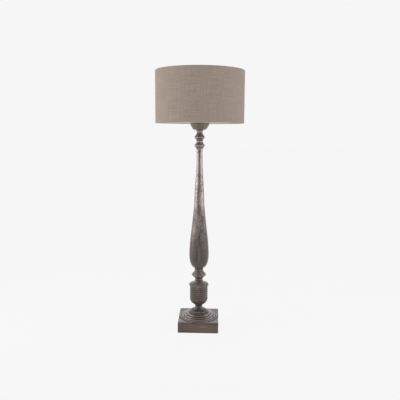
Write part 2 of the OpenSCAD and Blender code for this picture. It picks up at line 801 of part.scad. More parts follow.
// The fabric wall, folded over the wires at its edges, with a notch in the fold for each arm
module shade_fabric() {
    hole = wire_d / 2 + wrap_gap;
    low = [wire_ring_r, shade_z + roll_r];
    high = [wire_ring_r, shade_top_z - roll_r];
    color(linen) difference() {
        rotate_extrude($fn = 180) polygon(concat(
            arc(low, roll_r, -200, 0, 14),
            arc(high, roll_r, 0, 200, 14),
            arc(high, hole, 200, 0, 14),
            arc(low, hole, 0, -200, 14)));
        arms(arm_d + 2 * notch_gap);
    }
}

module shade_lining() {
    outer = shade_d / 2 - fabric_t - glue_gap;
    edge = 2 * roll_r + glue_gap;
    color("white") translate([0, 0, shade_z + edge]) rotate_extrude($fn = 180)
        translate([outer - lining_t, 0]) square([lining_t, shade_h - 2 * edge]);
}

module wire_ring(z) {
    translate([0, 0, z]) rotate_extrude($fn = 180) translate([wire_ring_r, 0]) circle(d = wire_d, $fn = 32);
}

module shade_top_wire() {
    color("white") wire_ring(shade_top_z - roll_r);
}

// Bottom wire, arms and the ring that sits on the lampholder, welded into one
module shade_frame() {
    color("white") {
        wire_ring(shade_z + roll_r);
        translate([0, 0, fitter_z]) ring(fitter_d, fitter_bore_d, fitter_t);
        arms(arm_d);
    }
}

// ---- Bulb ----

function glass_outline(shrink) =
    let (top_r = bulb_d / 2 - shrink, neck_r = bulb_neck_r - shrink, mid_z = bulb_glass_h - bulb_d / 2)
    concat(s_curve([neck_r, 0], [top_r, mid_z], 16),
        upright_to_level([top_r, mid_z], [0, mid_z + top_r], 14));

module bulb_glass() {
    color("white", 0.4) translate([0, 0, bulb_glass_z]) rotate_extrude() difference() {
        polygon(concat([[0, 0]], glass_outline(0)));
        polygon(concat([[0, -1], [bulb_neck_r - glass_t, -1]], glass_outline(glass_t)));
    }
}

module bulb_cap() {
    outer = bulb_shell_d / 2;
    inner = bulb_neck_r - 1.9;
    turns = 5;
    pitch = 3;
    threads = [for (k = [0:turns - 1], i = [0:5])
        [bulb_neck_r + bulb_thread * cos(60 * i), bulb_shell_z + pitch * (k + i / 6)]];
    color("silver") rotate_extrude() polygon(concat(
        [[inner, bulb_shell_z]], threads,
        [[outer, bulb_shell_z + pitch * turns], [outer, bulb_glass_z], [inner, bulb_glass_z]]));
}

module bulb_insulator() {
    color("#1d1d20") translate([0, 0, bulb_z + bulb_tip_h])
        cylinder(h = bulb_insulator_h, d1 = 12, d2 = bulb_shell_d - 3);
}

module bulb_contact() {
    color("silver") translate([0, 0, bulb_z]) cylinder(h = bulb_tip_h, d1 = 7, d2 = 10);
}

// Glass foot in the cap, a mast and four light strips on two crosses of wire
module bulb_filament() {
    low_z = bulb_glass_z + 20;
    strip_l = 36;
    strip_at = 8;
    strip_d = 2;
    wire = 0.9;
    foot_top_z = low_z - 6;
    color("#e8d27a") {
        translate([0, 0, bulb_shell_z]) cylinder(h = foot_top_z - bulb_shell_z, d1 = 16, d2 = 5);
        translate([0, 0, foot_top_z - 1]) cylinder(h = low_z + strip_l - foot_top_z + 1, d = strip_d);
        for (i = [0:3]) rotate([0, 0, 90 * i]) {
            for (z = [low_z, low_z + strip_l])
                translate([0, 0, z]) rotate([0, 90, 0]) cylinder(h = strip_at, d = wire);
            translate([strip_at, 0, low_z - 1]) cylinder(h = strip_l + 2, d = strip_d);
        }
    }
}

plinth();
bottom_cover();
cover_screws();
felt_pads();
ballast();
ballast_screws();
cord_bush();
terminal_block();
block_screws();
bottom_washer();
bottom_nut();
threaded_tube();
inner_lead();
stepped_disc();
foot();
urn();
bead();
baluster();
twin_bead_neck();
cup();
cup_washer();
cup_nut();
holder_cap();
cap_grub_screw();
holder_insert();
holder_contact();
terminal_screws();
holder_shell();
holder_jacket();
seat_ring();
key_stem();
key_knob();
shade_ring();
shade_fabric();
shade_lining();
shade_top_wire();
shade_frame();
bulb_glass();
bulb_cap();
bulb_insulator();
bulb_contact();
bulb_filament();
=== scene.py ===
"""Looks of a candlestick floor lamp: waxed turned wood on a square plinth, under a linen drum shade.

Metres, +Z up, the origin on the floor on the column's axis, the front at -Y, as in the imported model.
"""
import json
import math
from typing import NamedTuple

import bmesh
import bpy
import numpy as np
from mathutils import Matrix, Vector


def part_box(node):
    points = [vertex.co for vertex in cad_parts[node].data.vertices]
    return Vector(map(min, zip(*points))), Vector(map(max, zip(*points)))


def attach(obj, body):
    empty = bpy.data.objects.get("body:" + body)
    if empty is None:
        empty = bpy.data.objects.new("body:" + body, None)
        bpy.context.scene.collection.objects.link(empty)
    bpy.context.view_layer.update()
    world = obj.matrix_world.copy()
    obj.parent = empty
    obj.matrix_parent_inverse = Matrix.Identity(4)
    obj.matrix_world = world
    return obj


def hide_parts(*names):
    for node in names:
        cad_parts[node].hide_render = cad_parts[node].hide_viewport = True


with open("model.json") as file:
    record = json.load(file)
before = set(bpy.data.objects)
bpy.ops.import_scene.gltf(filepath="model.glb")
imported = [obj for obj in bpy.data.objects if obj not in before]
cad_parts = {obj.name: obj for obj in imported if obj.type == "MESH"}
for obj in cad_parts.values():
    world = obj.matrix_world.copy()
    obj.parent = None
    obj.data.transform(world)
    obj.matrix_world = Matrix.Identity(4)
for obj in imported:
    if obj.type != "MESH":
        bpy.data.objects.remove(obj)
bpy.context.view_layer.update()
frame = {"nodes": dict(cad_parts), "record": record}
nodes = frame["nodes"]
MM = 0.001
TURN = 2 * math.pi


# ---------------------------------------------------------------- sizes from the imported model

def low(node):
    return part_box(node)[0]


def high(node):
    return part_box(node)[1]


PLINTH_HALF = high("plinth").x
PLINTH_BOTTOM = low("plinth").z
PLINTH_TOP = high("plinth").z
COVER_HALF = high("bottom_cover").x
COVER_TOP = high("bottom_cover").z
DISC_R = high("stepped_disc").x
FOOT_TOP = high("foot").z
URN_TOP = high("urn").z
BALUSTER_BOTTOM = low("baluster").z
BALUSTER_TOP = high("baluster").z
CUP_BOTTOM = high("twin_bead_neck").z
SHADE_R = high("shade_fabric").x
SHADE_BOTTOM = low("shade_fabric").z
SHADE_TOP = high("shade_fabric").z


# ---------------------------------------------------------------- shader expressions

def tone(red, green, blue):
    """A colour given as 0 to 255 on screen, as the linear colour that a shader takes."""
    screen = [c / 255 for c in (red, green, blue)]
    return (*[c / 12.92 if c < 0.04045 else ((c + 0.055) / 1.055) ** 2.4 for c in screen], 1.0)


class Patch(NamedTuple):
    """An egg-shaped place on the wood: its middle, its half widths, and how strongly it shows."""
    middle: tuple
    half: tuple
    share: float = 1.0


class HighlightRing(NamedTuple):
    """A band of silver wax round the column, a painted highlight: its height, its half width, the wax it
    adds.
    """
    height: float
    half: float
    wax: float


class Field:
    """A number that varies over a surface; sums and products with it add Math nodes."""

    def __init__(self, net, socket):
        self.net = net
        self.socket = socket

    def __add__(self, other):
        return self.net.math("ADD", self, other)

    __radd__ = __add__

    def __sub__(self, other):
        return self.net.math("SUBTRACT", self, other)

    def __rsub__(self, other):
        return self.net.math("SUBTRACT", other, self)

    def __mul__(self, other):
        return self.net.math("MULTIPLY", self, other)

    __rmul__ = __mul__

    def rise(self, start, end):
        """0 up to start, 1 from end on, smooth between; falls where end is the smaller."""
        return self.net.node("MapRange", {"interpolation_type": "SMOOTHSTEP"},
                             {"Value": self, "From Min": start, "From Max": end})


class Net:
    """The nodes of one material or world."""

    def __init__(self, tree):
        self.tree = tree
        tree.nodes.clear()

    def node(self, kind, settings=None, inputs=None, output=0):
        """Adds a node: its settings first, then its sockets' values or links; gives one output."""
        node = self.tree.nodes.new("ShaderNode" + kind)
        for name, value in (settings or {}).items():
            setattr(node, name, value)
        for name, value in (inputs or {}).items():
            if isinstance(value, Field):
                self.tree.links.new(value.socket, node.inputs[name])
            else:
                node.inputs[name].default_value = value
        return Field(self, node.outputs[output])

    def end(self, kind, shader):
        """Adds the closing node and links the shader to it."""
        last = self.tree.nodes.new("ShaderNode" + kind)
        self.tree.links.new(shader.socket, last.inputs[0])

    def math(self, operation, *values):
        return self.node("Math", {"operation": operation}, dict(enumerate(values)))

    def mix(self, share, first, second):
        """A colour between first and second."""
        return self.node("Mix", {"data_type": "RGBA", "clamp_factor": True},
                         {0: share, 6: first, 7: second}, output=2)

    def attribute(self, name):
        return self.node("Attribute", {"attribute_name": name}, output="Fac")

    def part(self, vector, axis):
        return self.node("SeparateXYZ", inputs={0: vector}, output=axis)

    def length(self, vector):
        return self.node("VectorMath", {"operation": "LENGTH"}, {0: vector}, output="Value")

    def place(self, scale=(1, 1, 1), at=(0, 0, 0)):
        """The point on the piece, in metres from at, times scale; a small scale draws a pattern out."""
        point = self.node("TexCoord", output="Object")
        shift = [-s * a for s, a in zip(scale, at)]
        return self.node("Mapping", inputs={"Vector": point, "Scale": scale, "Location": shift})

    def radius(self):
        """How far the point is from the column's axis."""
        return self.length(self.place(scale=(1, 1, 0)))

    def upward(self):
        """How squarely the surface faces up: 1 on a level top, 0 on a wall."""
        return self.part(self.node("NewGeometry", output="Normal"), "Z")

    def patch(self, patch):
        """1 in the middle of the patch, 0 at its edge and less outside it."""
        return 1 - self.length(self.place([1 / half for half in patch.half], patch.middle))

    def frayed(self, patch, line, fray):
        """The patch with an edge that frays out along the grain line: 0 outside, its share well inside."""
        return (self.patch(patch) - (line - 0.5) * fray).rise(0.0, 0.5) * patch.share

    def noise(self, place, size, detail=3.0, rough=0.55):
        """Even noise around 0.5, with blots of about that size in metres."""
        return self.node("TexNoise", inputs={"Vector": place, "Scale": 1 / size, "Detail": detail,
                                             "Roughness": rough})

    def grain(self, axis, squeeze, size, detail=3.0, rough=0.55):
        """Noise drawn out along an axis: a squeeze of 0.05 makes its blots 20 times as long."""
        scale = [squeeze if axis == name else 1 for name in "XYZ"]
        return self.noise(self.place(scale), size, detail, rough)

    def bump(self, height, depth):
        """A relief that is depth metres deep where height goes from 0 to 1."""
        return self.node("Bump", inputs={"Height": height, "Distance": depth, "Strength": 1.0})


def material(name, paint, **values):
    """A material whose sockets come from paint(net), a dict, and from values, which are even all over."""
    made = bpy.data.materials.new(name)
    made.use_nodes = True
    net = Net(made.node_tree)
    sockets = {key.replace("_", " "): value for key, value in values.items()}
    net.end("OutputMaterial", net.node("BsdfPrincipled", inputs={**sockets, **paint(net)}))
    return made


# ---------------------------------------------------------------- wood finishes

SILVER = tone(210, 199, 196)
PALE_SILVER = tone(213, 197, 188)
STAIN = tone(88, 70, 64)
LOW_STAIN = tone(76, 60, 55)
URN_STAIN = tone(71, 56, 52)
SHAFT_STAIN = tone(76, 60, 56)
CUP_STAIN = tone(122, 108, 90)
STAIN_DARK = tone(56, 43, 40)
STAIN_BROWN = tone(104, 78, 65)
RUBBED = tone(128, 106, 98)
# Grime, and painted shade in grooves and hollows.
GRIME_AND_SHADOW = tone(34, 27, 26)
BARE_WOOD = tone(158, 112, 78)
FLECK = tone(184, 156, 146)
# Brown of the dark patches, mostly a painted dark reflection down the front middle.
DARK_PATCH_BROWN = tone(84, 65, 50)
WORN_BROWN = tone(118, 97, 83)
FADED_BROWN = tone(110, 92, 68)

# Worn and marked places, and places of painted shade and highlight, in metres.
WORN_FRONT = Patch((0, -0.115, PLINTH_TOP), (0.07, 0.055, 0.08))
DISC_FRONT_REFLECTION = Patch((0.005, -0.078, PLINTH_TOP), (0.06, 0.036, 0.08))
CORNER_HIGHLIGHT = Patch((0.1, -0.105, PLINTH_TOP), (0.07, 0.05, 0.05))
KNOT = Patch((0.036, -PLINTH_HALF, 0.041), (0.034, 0.03, 0.004), 0.75)
FADED_SIDE = Patch((0, -PLINTH_HALF, 0.03), (0.13, 0.03, 0.024), 0.45)


def grained_stain(net, line, ground, band):
    """The stain in the wood: ground with dark fine lines, browner where the share band is high."""
    return net.mix(band, net.mix(line, STAIN_DARK, ground), STAIN_BROWN)


def wood_relief(net, axis, squeeze, hollows=0.5):
    """Pores and fibres along the grain, with soft hollows left by the scraper."""
    fibres = net.grain(axis, squeeze, 1.6 * MM, 4.0, 0.6)
    pores = net.grain(axis, squeeze, 0.9 * MM, 2.0).rise(0.62, 0.72)
    scraped = net.noise(net.place(), 14 * MM, 2.0)
    return fibres * 0.3 - pores * 0.5 + scraped * hollows


def under_wax(net, stain, dirt_and_shadow, waxed, wax=SILVER, shine=0.9, **sockets):
    """Stain under grime and painted shade, and over both a share of wax, waxed, that shines like metal."""
    return {"Base Color": net.mix(waxed, net.mix(dirt_and_shadow, stain, GRIME_AND_SHADOW), wax),
            "Metallic": waxed * shine, **sockets}


def paint_column(net, silver=0.08, ground=LOW_STAIN, edging=0.12, top_wax=0.0, ring=None, paling=None,
                 runs=(), flecks=None):
    """Brown stain drawn along the grain, under a rubbed silver wax that is thick in bands and dashes.

    silver is the wax on a plain stretch. Edges add edging to it, what faces up adds more, partly as painted
    light from above, and the ring adds a band of its own as a painted highlight. paling is two heights,
    between which wax grows and turns warmer, and how much it grows. Grime and painted shade sit in the
    hollows, and grime in dark streaks. A dark patch is brown with less wax, mostly a painted dark reflection
    down the front middle. In the patch flecks the stain has pale spots.
    """
    proud = net.attribute("proud")
    height = net.part(net.place(), "Z")
    line = net.grain("Z", 0.05, 2.4 * MM, 5.0, 0.7)
    band = net.grain("Z", 0.03, 13 * MM)
    blot = net.grain("Z", 0.5, 34 * MM, 4.0, 0.6)
    dash = net.grain("Z", 0.3, 4.5 * MM, 5.0, 0.75)
    streak = net.grain("Z", 0.12, 7 * MM, 4.0, 0.65).rise(0.6, 0.68)
    edge = (proud + (dash - 0.5) * 1.4).rise(0.15, 0.8)
    # Grime and painted shade in the grooves and hollows.
    hollow = (proud * -1 + (dash - 0.5) * 0.6).rise(0.35, 0.85)

    wax = SILVER
    coat = silver
    if paling:
        start, end, more = paling
        wax = net.mix(height.rise(start, end), SILVER, PALE_SILVER)
        coat = silver + height.rise(start, end) * more
    thick = band.rise(0.36, 0.62) * 0.45 + dash.rise(0.42, 0.62) * 0.8 + blot.rise(0.4, 0.62) * 0.45
    coat = coat * thick + edge * edging
    # What faces up gets more wax, partly as painted light from above.
    if top_wax:
        coat = coat + net.upward().rise(0.1, 0.7) * (0.5 + dash.rise(0.4, 0.6) * 0.5) * top_wax
    dirt_and_shadow = net.math("MAXIMUM", hollow * 0.9, streak * 0.65)
    # The ring is a band of extra wax as a painted highlight.
    if ring:
        on_highlight_ring = net.math("ABSOLUTE", height - ring.height).rise(ring.half * 1.3, ring.half * 0.7)
        coat = coat + on_highlight_ring * ring.wax
        dirt_and_shadow = dirt_and_shadow * (1 - on_highlight_ring)
    waxed = net.math("MINIMUM", coat, 0.92) * (1 - dirt_and_shadow)

    stain = grained_stain(net, line.rise(0.38, 0.62), ground, band.rise(0.5, 0.64) * 0.6)
    stain = net.mix(edge * 0.25, stain, RUBBED)
    # Dark patches: brown with the wax taken off, mostly a painted dark reflection down the front middle.
    for patch in runs:
        run = net.frayed(patch, line, 0.9)
        stain = net.mix(run, stain, DARK_PATCH_BROWN)
        waxed = waxed * (1 - run)
    if flecks:
        spot = net.noise(net.place(), 5 * MM, 3.0, 0.6).rise(0.5, 0.6) * (0.25 + edge * 0.75)
        stain = net.mix(spot * net.patch(flecks).rise(0.0, 0.5) * flecks.share, stain, FLECK)
    relief = wood_relief(net, "Z", 0.06) - streak * 0.5
    return under_wax(net, stain, dirt_and_shadow, waxed, wax, shine=0.92, Normal=net.bump(relief, 0.25 * MM),
                     Roughness=0.36 + dirt_and_shadow * 0.25 + (line - 0.5) * 0.2 - waxed * 0.12)


def paint_disc(net):
    """The column's stain on a flat board: silver on the steps' ridges, grime and painted shade in the
    grooves, and a painted contact shadow at the foot.

    At the front it is rubbed down to brown at the edge, and further in a painted dark reflection darkens it.
    """
    proud = net.attribute("proud")
    line = net.grain("X", 0.05, 2.4 * MM, 5.0, 0.7)
    band = net.grain("X", 0.05, 12 * MM)
    dash = net.grain("X", 0.4, 5 * MM, 5.0, 0.7)
    blot = net.noise(net.place(), 45 * MM, 4.0)
    edge = (proud + (dash - 0.5) * 0.4).rise(0.05, 0.6)
    worn = net.frayed(WORN_FRONT, line, 0.8)
    # Painted dark reflection of the column in the middle of the front.
    painted_reflection = net.frayed(DISC_FRONT_REFLECTION, line, 0.6)
    # Grime and painted shade in the grooves, and a painted contact shadow at the disc's foot.
    groove = (proud * -1 + (dash - 0.5) * 0.3).rise(-0.35, 0.0)
    foot = net.radius().rise(DISC_R - 4 * MM, DISC_R - 1.5 * MM) * (1 - worn * 0.7)
    hollow = net.math("MAXIMUM", groove, foot)

    stain = grained_stain(net, line.rise(0.38, 0.62), STAIN, band.rise(0.48, 0.64) * 0.6)
    stain = net.mix(worn * 0.7, stain, WORN_BROWN)
    stain = net.mix(painted_reflection * 0.35, stain, STAIN_DARK)
    coat = blot.rise(0.4, 0.7) * 0.08 + dash.rise(0.45, 0.65) * 0.1
    coat = coat + edge * (0.34 + dash.rise(0.38, 0.62) * 0.2)
    waxed = net.math("MINIMUM", coat, 0.9) * (1 - hollow) * (1 - worn * 0.3) * (1 - painted_reflection * 0.55)
    relief = wood_relief(net, "X", 0.08, 0.4)
    return under_wax(net, stain, hollow * 0.9, waxed, Normal=net.bump(relief, 0.25 * MM),
                     Roughness=0.24 + hollow * 0.3 + (line - 0.5) * 0.15)


def paint_plinth(net):
    """Grain from side to side: brown sides with bare streaks, faded in the middle of the front, with a knot.

    The top is silvered, more at its front right corner as a painted highlight, with a painted contact shadow
    round the disc that is thin at the front.
    """
    proud = net.attribute("proud")
    up = net.upward().rise(0.3, 0.8)
    line = net.grain("X", 0.03, 3 * MM, 5.0, 0.7)
    band = net.grain("X", 0.04, 11 * MM)
    dash = net.grain("X", 0.2, 4 * MM, 4.0, 0.7)
    blot = net.grain("X", 0.6, 50 * MM, 4.0)
    bare = net.grain("X", 0.1, 8 * MM).rise(0.6, 0.7) * (1 - up)
    knot = (net.patch(KNOT) - (line - 0.5) * 1.6).rise(-0.1, 0.6) * KNOT.share
    edge = (proud + (dash - 0.5) * 0.9).rise(0.4, 1.0)
    crack = line.rise(0.34, 0.27)
    worn = net.frayed(WORN_FRONT, line, 0.8)
    # Painted contact shadow round the disc's foot, thinner at the front.
    foot = net.radius().rise(DISC_R + 5 * MM, DISC_R + 1.5 * MM) * up * (1 - worn * 0.7)

    stain = grained_stain(net, line.rise(0.36, 0.62), STAIN, band.rise(0.45, 0.62) * 0.7)
    stain = net.mix(net.frayed(FADED_SIDE, line, 1.2), stain, FADED_BROWN)
    stain = net.mix(net.math("MAXIMUM", bare * 0.5, knot), stain, BARE_WOOD)
    stain = net.mix(edge * 0.35 * up, stain, RUBBED)
    coat = (0.05 + up * 0.38) * (dash.rise(0.42, 0.64) * 0.7 + blot.rise(0.4, 0.65) * 0.6)
    # Painted highlight: more silver at the front right corner of the top.
    coat = coat + net.patch(CORNER_HIGHLIGHT).rise(0.0, 0.6) * up * 0.14
    waxed = coat * (1 - crack) * (1 - foot)
    dirt_and_shadow = net.math("MAXIMUM", crack * 0.5, foot * 0.9)
    relief = wood_relief(net, "X", 0.04) - crack * 0.6
    return under_wax(net, stain, dirt_and_shadow, waxed, shine=0.85, Normal=net.bump(relief, 0.3 * MM),
                     Roughness=0.36 - up * 0.1 + (line - 0.5) * 0.2 + crack * 0.2)


def paint_board(net):
    """Bare pale board for the underside."""
    line = net.grain("X", 0.04, 5 * MM, 5.0)
    fine = net.grain("X", 0.05, 1.2 * MM)
    colour = net.mix(line.rise(0.3, 0.7), tone(158, 128, 92), tone(190, 162, 124))
    return {"Base Color": net.mix(fine.rise(0.55, 0.7) * 0.3, colour, tone(130, 100, 70)),
            "Roughness": 0.7 + (fine - 0.5) * 0.2, "Normal": net.bump(fine, 0.15 * MM)}


# ---------------------------------------------------------------- other finishes

THREAD_PITCH = 0.75 * MM


def paint_linen(net):
    """Plain weave drawn from the sheet's own map, in metres: over and under threads, slubs and uneven dye."""
    cloth = net.node("UVMap", {"uv_map": "cloth"})
    across, along = net.part(cloth, "X"), net.part(cloth, "Y")
    drift = (net.noise(cloth, 18 * MM, 2.0) - 0.5) * 0.6
    warp = net.math("SINE", across * (math.pi / THREAD_PITCH) + drift * 3)
    weft = net.math("SINE", along * (math.pi / THREAD_PITCH) + drift * 3)
    over = warp * weft * 0.5 + 0.5

    def threads(stretch, size, detail):
        """Noise on the sheet, drawn out along its first direction or its second."""
        drawn = net.node("Mapping", inputs={"Vector": cloth, "Scale": (*stretch, 1)})
        return net.noise(drawn, size, detail)

    slub_weft = threads((0.05, 1), 1.5 * MM, 2.0).rise(0.6, 0.74)
    slub_warp = threads((1, 0.04), 1.5 * MM, 2.0).rise(0.62, 0.76)
    tint_weft = threads((0.02, 1), 2.4 * MM, 3.0)
    tint_warp = threads((1, 0.02), 2.4 * MM, 3.0)
    cloud = net.noise(cloth, 9 * MM, 4.0, 0.6)
    dye = (tint_weft - 0.5) * 1.3 + (tint_warp - 0.5) * 1.2 + (cloud - 0.5) * 0.8 + 0.5
    slub = net.math("MAXIMUM", slub_weft, slub_warp)
    colour = net.mix(dye, tone(159, 142, 131), tone(199, 182, 169))
    colour = net.mix(slub * 0.4, colour, tone(213, 200, 187))
    # Painted shade where the threads dip under.
    colour = net.mix((1 - over) * 0.25, colour, tone(121, 108, 100))
    relief = over * 0.5 + slub * 0.6
    return {"Base Color": colour, "Roughness": 0.86 + (cloud - 0.5) * 0.1,
            "Normal": net.bump(relief, 0.22 * MM)}


def paint_lining(net):
    """Smooth pale laminate with a faint cloudy sheen."""
    cloud = net.noise(net.place(), 60 * MM)
    return {"Base Color": net.mix(cloud, tone(250, 243, 241), tone(255, 250, 249)),
            "Roughness": 0.5 + (cloud - 0.5) * 0.15}


def paint_felt(net):
    """Dark matted fibres."""
    fibres = net.noise(net.place(), 0.6 * MM, 4.0, 0.7)
    return {"Base Color": net.mix(fibres, tone(44, 40, 38), tone(78, 72, 68)),
            "Roughness": 0.95 + (fibres - 0.5) * 0.06, "Normal": net.bump(fibres, 0.4 * MM)}


def paint_iron(net):
    """Raw cast iron: the rough skin of the sand it was cast in."""
    cast = net.noise(net.place(), 1.6 * MM, 5.0, 0.65)
    return {"Base Color": net.mix(cast, tone(58, 58, 60), tone(92, 88, 86)), "Roughness": 0.7 + cast * 0.15,
            "Normal": net.bump(cast, 0.5 * MM)}


def paint_metal(light, dark, rough):
    """A metal that is bright where it is rubbed, and darker and duller in blots."""
    def paint(net):
        blot = net.noise(net.place(), 12 * MM, 4.0, 0.6)
        fine = net.noise(net.place(), 0.8 * MM)
        return {"Base Color": net.mix(blot.rise(0.35, 0.7), light, dark),
                "Roughness": rough + blot.rise(0.4, 0.7) * 0.18 + (fine - 0.5) * 0.1,
                "Normal": net.bump(fine, 0.03 * MM)}
    return paint


def paint_smooth(colour, second, rough, cloud_size=9 * MM, relief=0.02 * MM):
    """Moulded or glazed: an even colour with a slight cloud, and a skin that isn't quite flat."""
    def paint(net):
        cloud = net.noise(net.place(), cloud_size)
        skin = net.noise(net.place(), 1.1 * MM, 2.0)
        return {"Base Color": net.mix(cloud, colour, second), "Roughness": rough + (skin - 0.5) * 0.08,
                "Normal": net.bump(skin, relief)}
    return paint


def paint_floor(net):
    """Even and pale; no light where the plinth stands close over it."""
    mottle = net.noise(net.place(), 0.25, 2.0)
    aside = [net.math("ABSOLUTE", net.part(net.place(), axis)) for axis in "XY"]
    # Painted contact shadow: the floor's glow fades out under the plinth.
    clear = net.math("MAXIMUM", *aside).rise(PLINTH_HALF - 6 * MM, PLINTH_HALF + 2 * MM)
    return {"Base Color": net.mix(mottle, tone(70, 70, 70), tone(74, 74, 74)),
            "Roughness": 0.9 + mottle * 0.05,
            "Emission Color": net.mix(clear, tone(0, 0, 0), tone(255, 255, 255))}


# ---------------------------------------------------------------- meshes

def add_piece(name, points, closed_rows=False, closed_columns=True, attributes=None, cloth=None, poles=False):
    """A mesh of four-sided faces over points[row, column].

    Its faces look outwards where the rows go up and the columns go round anticlockwise, seen from above.
    A closed direction joins its last line to its first. attributes are numbers per point. cloth is the
    flat place of each point, for a pattern that follows a sheet. poles merges a line of points that all
    lie in one place.
    """
    rows, columns = points.shape[:2]
    index = np.arange(rows * columns).reshape(rows, columns)
    if closed_rows:
        index = np.concatenate([index, index[:1]])
    if closed_columns:
        index = np.concatenate([index, index[:, :1]], axis=1)
    faces = np.stack([index[:-1, :-1], index[:-1, 1:], index[1:, 1:], index[1:, :-1]], -1).reshape(-1, 4)
    mesh = bpy.data.meshes.new(name)
    mesh.from_pydata(points.reshape(-1, 3), [], faces)
    mesh.polygons.foreach_set("use_smooth", np.ones(len(faces), bool))
    for key, values in (attributes or {}).items():
        layer = mesh.attributes.new(key, "FLOAT", "POINT")
        layer.data.foreach_set("value", np.ascontiguousarray(values, np.float32).ravel())
    if cloth is not None:
        layer = mesh.uv_layers.new(name="cloth")
        layer.data.foreach_set("uv", cloth.reshape(-1, 2)[faces.ravel()].astype(np.float32).ravel())
    mesh.validate()
    if poles:
        net = bmesh.new()
        net.from_mesh(mesh)
        bmesh.ops.remove_doubles(net, verts=net.verts, dist=0.001 * MM)
        net.to_mesh(mesh)
        net.free()
    piece = bpy.data.objects.new(name, mesh)
    bpy.context.collection.objects.link(piece)
    return piece


def finish_piece(piece, body, finish, node):
    """Gives a piece its material and its body, and hides the CAD node that it stands for."""
    piece.data.materials.append(finish)
    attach(piece, body)
    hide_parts(node)


def joined(pieces):
    """Several pieces as one."""
    net = bmesh.new()
    for piece in pieces:
        net.from_mesh(piece.data)
    net.to_mesh(pieces[0].data)
    net.free()
    for piece in pieces[1:]:
        bpy.data.objects.remove(piece)
    return pieces[0]


def all_round(count):
    """The angles of count even steps once round."""
    return np.arange(count) / count * TURN


def about_axis(radius, angle, height):
    """The points (radius * cos(angle), radius * sin(angle), height)."""
    return np.stack(np.broadcast_arrays(radius * np.cos(angle), radius * np.sin(angle), height), -1)


def push_out(points, angle, shift):
    """Moves points away from the axis by shift."""
    points[..., 0] += shift * np.cos(angle)
    points[..., 1] += shift * np.sin(angle)


def uneven(points, shortest, longest, seed, waves=14):
    """Smooth unevenness of about -1 to 1 at each point: a sum of sine waves in random directions."""
    draw = np.random.default_rng(seed)
    way = draw.normal(size=(waves, 3))
    way /= np.linalg.norm(way, axis=1)[:, None]
    length = np.exp(draw.uniform(math.log(shortest), math.log(longest), waves))
    phase = draw.uniform(0, TURN, waves)
    wave = np.sin(points @ (way * (TURN / length)[:, None]).T + phase)
    return wave.sum(-1) / math.sqrt(waves)


def smooth(t):
    """Goes from 0 to 1, level at both ends, as t goes from 0 to 1."""
    t = np.clip(t, 0, 1)
    return t * t * (3 - 2 * t)


def nicked(points, shortest, longest, seed, start):
    """0 nearly everywhere, and up to 1 in scattered spots, where the unevenness is 0.9 above start."""
    return smooth((uneven(points, shortest, longest, seed) - start) / 0.9)


# ---------------------------------------------------------------- outlines of turned pieces

CORNER_TURN = math.radians(33)
CORNER_EASE = 0.45 * MM
HIDDEN_R = 12.2 * MM
EDGE_REACH = 3.2 * MM
FINE_REACH = 1.2 * MM
# The cup's bowl, as radius and height over the cup's foot, in mm.
CUP_BOWL = [(31.5, 14.5), (41.5, 18.5), (49.8, 30.5), (57.4, 43.5), (62.2, 52.5)]


def outline_of(node):
    """The outline of a turned CAD piece as [radius, height], from the foot of its bore out and round.

    With every point turned into one half plane, the mesh's edges join the outline's neighbours. The walk
    along them first goes outwards, and then always on to the neighbour that it doesn't come from.
    """
    mesh = nodes[node].data
    point = np.zeros(len(mesh.vertices) * 3)
    mesh.vertices.foreach_get("co", point)
    point = point.reshape(-1, 3)
    flat = np.stack([np.hypot(point[:, 0], point[:, 1]), np.zeros(len(point)), point[:, 2]], 1)
    pair = np.zeros(len(mesh.edges) * 2, int)
    mesh.edges.foreach_get("vertices", pair)
    folded = bpy.data.meshes.new("folded")
    folded.from_pydata(flat, pair.reshape(-1, 2).tolist(), [])
    net = bmesh.new()
    net.from_mesh(folded)
    bpy.data.meshes.remove(folded)
    bmesh.ops.remove_doubles(net, verts=net.verts, dist=0.02 * MM)
    here = min(net.verts, key=lambda v: (round(v.co.x, 5), v.co.z))
    before, walk = None, []
    while here is not None and (not walk or here is not walk[0]):
        walk.append(here)
        ways = [e.other_vert(here) for e in here.link_edges if e.other_vert(here) is not before]
        outwards = before is None
        before = here
        here = max(ways, key=lambda v: v.co.x) if outwards else next(iter(ways), None)
    outline = np.array([(v.co.x, v.co.z) for v in walk])
    net.free()
    return outline


def between(t, start, end, first, last):
    """first where t is start, last where it is end, and in a straight line through them elsewhere."""
    return (end - t) / (end - start) * first + (t - start) / (end - start) * last


def spline(points, step):
    """A Catmull-Rom curve through the points, with knots at the summed square roots of their distances.

    Each stretch blends lines through neighbouring points two at a time: three lines, two, then one.
    """
    knots = np.concatenate([[2 * points[0] - points[1]], points, [2 * points[-1] - points[-2]]])
    gap = np.sqrt(np.linalg.norm(np.diff(knots, axis=0), axis=1))
    at = np.concatenate([[0], np.cumsum(gap)])
    made = []
    for i in range(1, len(knots) - 2):
        count = max(1, round(np.linalg.norm(knots[i + 1] - knots[i]) / step))
        t = np.linspace(at[i], at[i + 1], count + 1)[:-1, None]
        p, k = knots[i - 1:i + 3], at[i - 1:i + 3]
        three = [between(t, k[j], k[j + 1], p[j], p[j + 1]) for j in range(3)]
        two = [between(t, k[j], k[j + 2], three[j], three[j + 1]) for j in range(2)]
        made.append(between(t, k[1], k[2], *two))
    return np.concatenate([*made, points[-1:]])


def eased_ends(line, ease):
    """The line with its first and last point moved inwards by ease, to leave room for a rounded corner."""
    first, last = line[1] - line[0], line[-2] - line[-1]
    line[0] += first * min(1, ease / np.linalg.norm(first))
    line[-1] += last * min(1, ease / np.linalg.norm(last))
    return line


